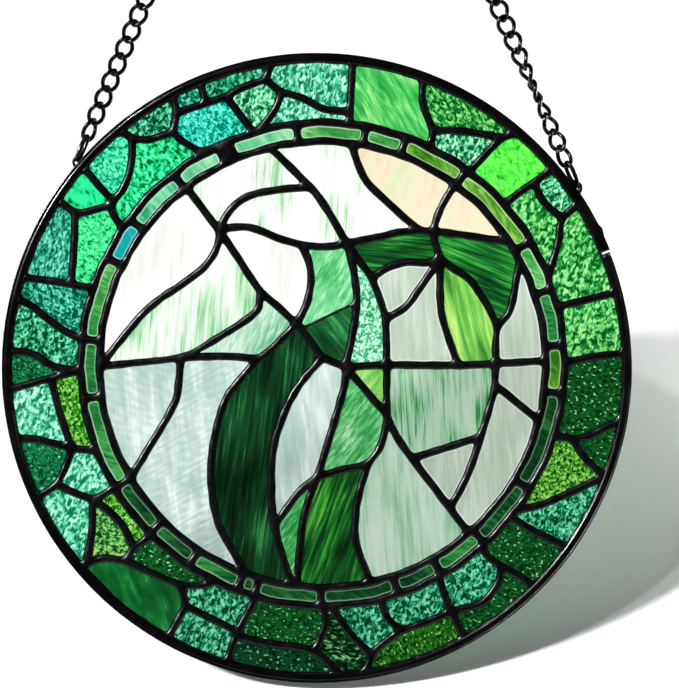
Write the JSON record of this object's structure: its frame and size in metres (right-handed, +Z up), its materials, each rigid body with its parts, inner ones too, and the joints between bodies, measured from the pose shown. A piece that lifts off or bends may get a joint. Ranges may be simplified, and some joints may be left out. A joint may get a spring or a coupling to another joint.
{
  "type": "stained glass suncatcher",
  "caption": "Round leaded glass panel with a black metal rim, an abstract green and white centre, a mosaic border and two chains to one hanging ring.",
  "frame": {"origin": "where a hook bears, on the inside of the hanging ring at its top", "axes": "+Z up, +X to the right as seen from the front, and the front face looks towards -Y"},
  "size_m": [0.3, 0.008, 0.5261],
  "materials": {
    "black_rim": "black metal channel, half gloss",
    "black_solder": "solder under black patina, satin and slightly wrinkled",
    "black_chain": "black plated steel wire, glossy",
    "white_glass": "opalescent art glass, near white",
    "streaked_glass": "streaky art glass, white with green wisps",
    "pale_green_glass": "streaky art glass, pale green",
    "cream_glass": "opalescent art glass, warm cream",
    "leaf_green_glass": "streaky art glass, leaf green",
    "deep_green_glass": "streaky and hammered glass, deep green",
    "mint_glass": "mottled cathedral glass, mint",
    "pearl_glass": "opalescent art glass, grey white, faintly combed",
    "dark_green_glass": "streaky art glass, very dark green",
    "sea_green_glass": "hammered cathedral glass, sea green",
    "mid_green_glass": "rippled cathedral glass, mid green",
    "bright_green_glass": "rippled cathedral glass, bright green",
    "teal_glass": "hammered cathedral glass, teal"
  },
  "bodies": {
    "root": {"rim": "black_rim", "lead_lines": "black_solder", "glass_left_white_sail": "white_glass", "glass_left_streaked_leaf": "streaked_glass", "glass_left_pale_green_petal": "pale_green_glass", "glass_top_left_white_wisp": "white_glass", "glass_top_white_leaf": "white_glass", "glass_inner_white_leaf": "white_glass", "glass_top_streaked_sail": "streaked_glass", "glass_top_cream_sail": "cream_glass", "glass_top_right_cream_corner": "cream_glass", "glass_centre_green_blade": "leaf_green_glass", "glass_centre_dark_green_wedge": "deep_green_glass", "glass_centre_mint_strip": "mint_glass", "glass_centre_dark_green_band": "deep_green_glass", "glass_right_dark_green_arch": "deep_green_glass", "glass_centre_grey_petal": "pearl_glass", "glass_centre_grey_panel": "pearl_glass", "glass_right_lime_leaf": "leaf_green_glass", "glass_right_grey_fin": "pearl_glass", "glass_right_pale_corner": "pearl_glass", "glass_right_streaked_panel": "streaked_glass", "glass_low_right_pearl_strip": "pearl_glass", "glass_low_right_triangle": "pearl_glass", "glass_small_green_triangle": "leaf_green_glass", "glass_middle_green_leaf": "leaf_green_glass", "glass_low_pale_sail": "pale_green_glass", "glass_low_dark_green_stem": "deep_green_glass", "glass_low_green_wedge": "leaf_green_glass", "glass_middle_pearl_oval": "pearl_glass", "glass_big_dark_green_curve": "dark_green_glass", "glass_low_left_pearl_crescent": "pearl_glass", "glass_low_left_pearl_leaf": "pearl_glass", "band_tiles_top": "leaf_green_glass", "band_tiles_left": "sea_green_glass", "band_tiles_bottom": "deep_green_glass", "band_tiles_right": "deep_green_glass", "border_glass_01": "mid_green_glass", "border_glass_02": "bright_green_glass", "border_glass_03": "mid_green_glass", "border_glass_04": "deep_green_glass", "border_glass_05": "mid_green_glass", "border_glass_06": "deep_green_glass", "border_glass_07": "mid_green_glass", "border_glass_08": "dark_green_glass", "border_glass_09": "sea_green_glass", "border_glass_10": "deep_green_glass", "border_glass_11": "mid_green_glass", "border_glass_12": "sea_green_glass", "border_glass_13": "sea_green_glass", "border_glass_14": "sea_green_glass", "border_glass_15": "teal_glass", "border_glass_16": "teal_glass", "border_glass_17": "teal_glass", "border_glass_18": "mint_glass", "loop_left": "black_rim", "loop_right": "black_rim", "chain_left": "black_chain", "chain_right": "black_chain", "hanging_ring": "black_chain"}
  },
  "joints": []
}
